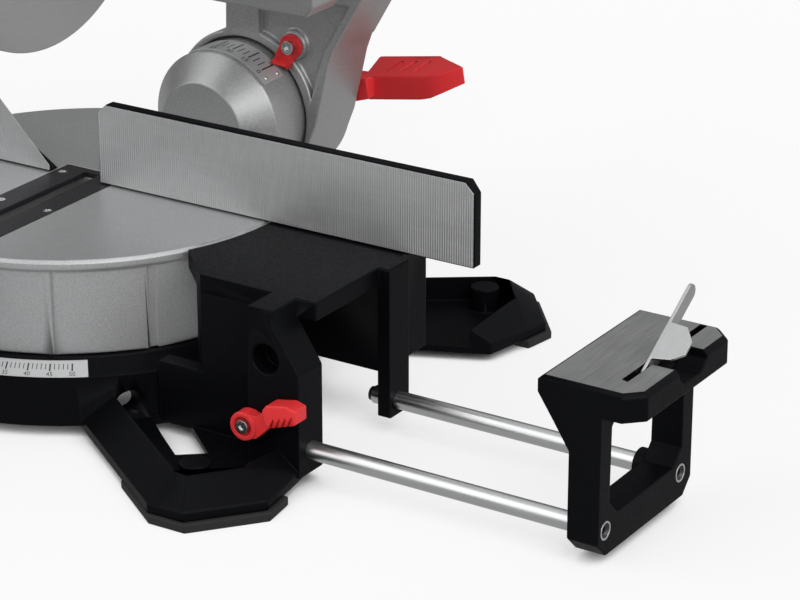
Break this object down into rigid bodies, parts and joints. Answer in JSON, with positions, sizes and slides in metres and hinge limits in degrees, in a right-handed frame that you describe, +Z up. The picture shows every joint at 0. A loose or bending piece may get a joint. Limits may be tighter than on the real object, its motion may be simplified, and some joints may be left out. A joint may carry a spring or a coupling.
{
  "type": "sliding mitre saw",
  "caption": "Bench mitre saw with turntable, fence, left-tilting arm, sliding saw head, guarded blade and pull-out work supports with flip-up stops.",
  "frame": {"origin": "turntable axis at bench level, centre of the four bench bolt holes", "axes": "+X to the right along the fence, +Y to the back, +Z up; fence face on y = 0"},
  "size_m": [0.998, 0.7954, 0.5243],
  "materials": {
    "black_coat": "satin powder coat",
    "rubber": "matt",
    "scale_plate": "matt",
    "steel": "zinc plated",
    "fence_alloy": "ribbed, bare face",
    "rail_steel": "polished",
    "black_plastic": "moulded",
    "stainless": "brushed",
    "red_plastic": "satin",
    "table_cast": "fine cast",
    "grey_cast": "satin lacquered cast",
    "bush_bronze": "sintered",
    "blade_steel": "ground",
    "guard_alloy": "painted"
  },
  "bodies": {
    "base": {"base_casting": "black_coat", "foot_soles": "rubber", "mitre_scale": "scale_plate", "turntable_pivot_bolt": "steel", "fence_right": "fence_alloy", "fence_left": "fence_alloy", "fence_screws": "steel"},
    "turntable": {"turntable": "table_cast", "kerf_insert": "red_plastic", "mitre_pointer": "red_plastic", "detent_pin": "steel", "bevel_drum": "grey_cast", "bevel_scale": "scale_plate"},
    "mitre_handle": {"mitre_handle": "black_plastic", "mitre_handle_screw": "steel"},
    "detent_lever": {"detent_lever": "red_plastic"},
    "bevel_arm": {"bevel_arm": "grey_cast", "bevel_axle": "steel", "bevel_pointer": "red_plastic", "bevel_pointer_screw": "steel", "slide_bushes": "bush_bronze"},
    "bevel_lever": {"bevel_lever": "red_plastic"},
    "slide_lock_knob": {"slide_lock_knob": "black_plastic"},
    "carriage": {"slide_tubes": "rail_steel", "head_bracket": "grey_cast", "tube_end_cap": "black_plastic", "head_pivot_pin": "steel"},
    "head": {"upper_guard": "black_coat", "gear_housing": "grey_cast", "motor_housing": "black_plastic", "motor_end_cap": "black_plastic", "main_handle": "black_plastic", "dust_spout": "black_plastic"},
    "trigger": {"trigger": "red_plastic"},
    "lock_off_button": {"lock_off_button": "red_plastic"},
    "spindle_lock_button": {"spindle_lock_button": "red_plastic"},
    "blade": {"blade": "blade_steel", "spindle": "steel", "outer_flange": "steel", "arbor_bolt": "steel"},
    "lower_guard": {"lower_guard": "guard_alloy"},
    "extension_right": {"rails_right": "rail_steel", "rail_collars_right": "black_plastic", "end_bracket_right": "black_coat", "rail_end_screws_right": "steel", "stop_pin_right": "steel"},
    "flip_stop_right": {"flip_stop_right": "stainless"},
    "clamp_lever_right": {"clamp_lever_right": "red_plastic", "clamp_screw_right": "steel"},
    "extension_left": {"rails_left": "rail_steel", "rail_collars_left": "black_plastic", "end_bracket_left": "black_coat", "rail_end_screws_left": "steel", "stop_pin_left": "steel"},
    "flip_stop_left": {"flip_stop_left": "stainless"},
    "clamp_lever_left": {"clamp_lever_left": "red_plastic", "clamp_screw_left": "steel"}
  },
  "joints": [
    {"name": "turntable_turn", "type": "hinge", "parent": "base", "child": "turntable", "pos_m": [0, 0, 0.05], "axis": [0, 0, 1], "range_deg": [-50, 50]},
    {"name": "mitre_handle_turn", "type": "hinge", "parent": "turntable", "child": "mitre_handle", "pos_m": [0, -0.3, 0.097], "axis": [0, 1, 0], "range_deg": [-90, 0]},
    {"name": "detent_lever_press", "type": "hinge", "parent": "turntable", "child": "detent_lever", "pos_m": [0, -0.224, 0.072], "axis": [1, 0, 0], "range_deg": [-8, 0], "stiffness_Nm_per_rad": 0.6, "springref_deg": 5.73},
    {"name": "bevel_tilt", "type": "hinge", "parent": "turntable", "child": "bevel_arm", "pos_m": [0, 0.2, 0.112], "axis": [0, 1, 0], "range_deg": [-45, 0]},
    {"name": "bevel_lever_turn", "type": "hinge", "parent": "bevel_arm", "child": "bevel_lever", "pos_m": [0, 0.256, 0.112], "axis": [0, 1, 0], "range_deg": [-15, 30]},
    {"name": "slide_lock_knob_turn", "type": "hinge", "parent": "bevel_arm", "child": "slide_lock_knob", "pos_m": [0.112, 0.2185, 0.231], "axis": [1, 0, 0], "range_deg": [0, 120]},
    {"name": "carriage_slide", "type": "slide", "parent": "bevel_arm", "child": "carriage", "axis": [0, 1, 0], "range_m": [-0.18, 0]},
    {"name": "head_chop", "type": "hinge", "parent": "carriage", "child": "head", "pos_m": [0.054, 0.118, 0.272], "axis": [1, 0, 0], "range_deg": [0, 41.23], "stiffness_Nm_per_rad": 18, "springref_deg": -54.43},
    {"name": "trigger_pull", "type": "slide", "parent": "head", "child": "trigger", "axis": [0, -0.1524, 0.9883], "range_m": [0, 0.005], "stiffness_N_per_m": 600, "springref_m": -0.002},
    {"name": "lock_off_press", "type": "slide", "parent": "head", "child": "lock_off_button", "axis": [1, 0, 0], "range_m": [0, 0.004], "stiffness_N_per_m": 400, "springref_m": -0.001},
    {"name": "spindle_lock_press", "type": "slide", "parent": "head", "child": "spindle_lock_button", "axis": [-1, 0, 0], "range_m": [0, 0.004], "stiffness_N_per_m": 400, "springref_m": -0.001},
    {"name": "blade_spin", "type": "hinge", "parent": "head", "child": "blade", "pos_m": [0, -0.03962, 0.33568], "axis": [1, 0, 0], "continuous": true},
    {"name": "lower_guard_swing", "type": "hinge", "parent": "head", "child": "lower_guard", "pos_m": [0, -0.03962, 0.33568], "axis": [1, 0, 0], "range_deg": [0, 135]},
    {"name": "extension_right_slide", "type": "slide", "parent": "base", "child": "extension_right", "axis": [1, 0, 0], "range_m": [-0.158, 0]},
    {"name": "flip_stop_right_fold", "type": "hinge", "parent": "extension_right", "child": "flip_stop_right", "pos_m": [0.478, -0.076, 0.11], "axis": [1, 0, 0], "range_deg": [-32, 0]},
    {"name": "clamp_lever_right_turn", "type": "hinge", "parent": "base", "child": "clamp_lever_right", "pos_m": [0.2305, -0.131, 0.039], "axis": [0, 1, 0], "range_deg": [-70, 0]},
    {"name": "extension_left_slide", "type": "slide", "parent": "base", "child": "extension_left", "axis": [-1, 0, 0], "range_m": [-0.158, 0]},
    {"name": "flip_stop_left_fold", "type": "hinge", "parent": "extension_left", "child": "flip_stop_left", "pos_m": [-0.478, -0.076, 0.11], "axis": [1, 0, 0], "range_deg": [-32, 0]},
    {"name": "clamp_lever_left_turn", "type": "hinge", "parent": "base", "child": "clamp_lever_left", "pos_m": [-0.2305, -0.131, 0.039], "axis": [0, -1, 0], "range_deg": [-70, 0]}
  ],
  "couplings": [
    {"joint": "lower_guard_swing", "follows": "head_chop", "ratio": 3.2736}
  ]
}
